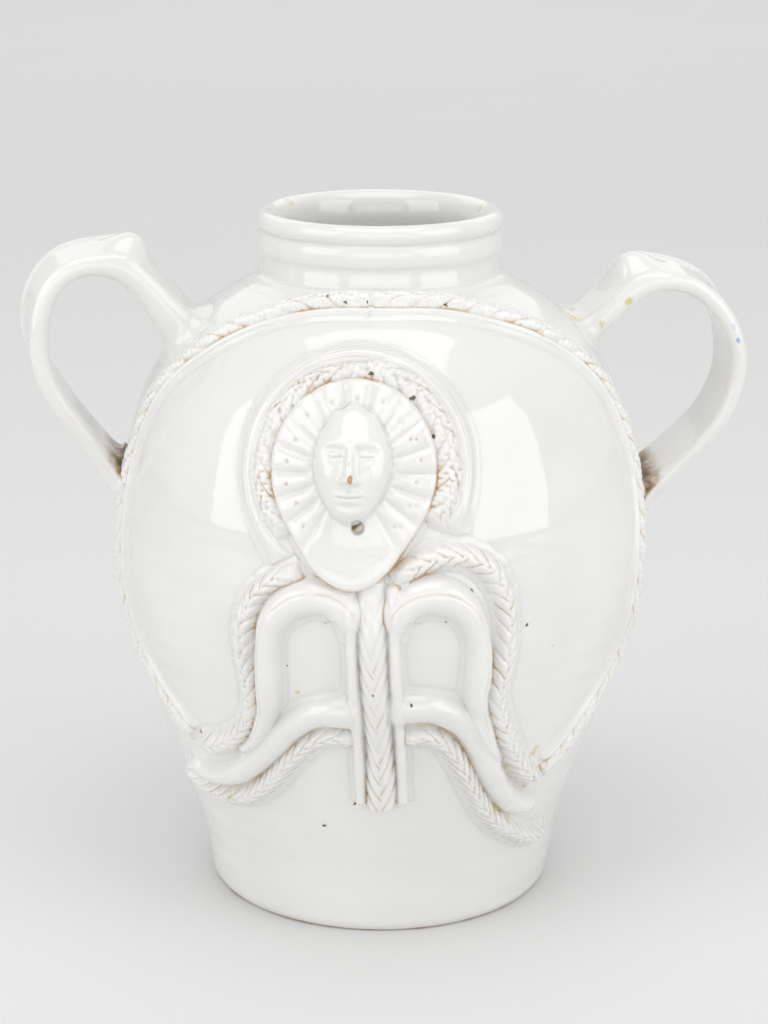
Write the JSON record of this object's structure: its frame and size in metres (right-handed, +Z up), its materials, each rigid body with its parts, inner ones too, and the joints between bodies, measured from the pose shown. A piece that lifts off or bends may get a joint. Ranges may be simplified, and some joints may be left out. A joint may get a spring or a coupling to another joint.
{
  "type": "two-handled ceramic jar",
  "caption": "Round-bellied white glazed jar with a short ridged neck, strap handles at the shoulder and laid-on ropes, braids, arches and a moulded mask in relief on its front.",
  "frame": {"origin": "on the jar's axis, on the flat underside that it stands on", "axes": "+Z up the jar's axis, +X through the right handle, relief facing -Y"},
  "size_m": [0.2915, 0.2257, 0.28],
  "materials": {
    "white_glaze": "thick glossy white glaze with fine pits and faint stains",
    "relief_glaze": "glossy white glaze that runs thin on edges and pools in creases, with brown clay showing in them"
  },
  "bodies": {
    "root": {"vessel_body": "white_glaze", "neck_ring": "white_glaze", "handle_left": "white_glaze", "handle_right": "white_glaze", "medallion_disc": "relief_glaze", "face_mask": "white_glaze", "border_rope_left": "relief_glaze", "border_rope_right": "relief_glaze", "border_bead_left": "relief_glaze", "border_bead_right": "relief_glaze", "hood_ridge": "relief_glaze", "hair_braid_left": "relief_glaze", "hair_braid_right": "relief_glaze", "column_braid": "relief_glaze", "column_fillet_left": "relief_glaze", "column_fillet_right": "relief_glaze", "arch_left": "relief_glaze", "arch_right": "relief_glaze", "arch_braid_left": "relief_glaze", "arch_braid_right": "relief_glaze", "sweep_left": "relief_glaze", "sweep_right": "relief_glaze", "sweep_braid_left": "relief_glaze", "sweep_braid_right": "relief_glaze"}
  },
  "joints": []
}
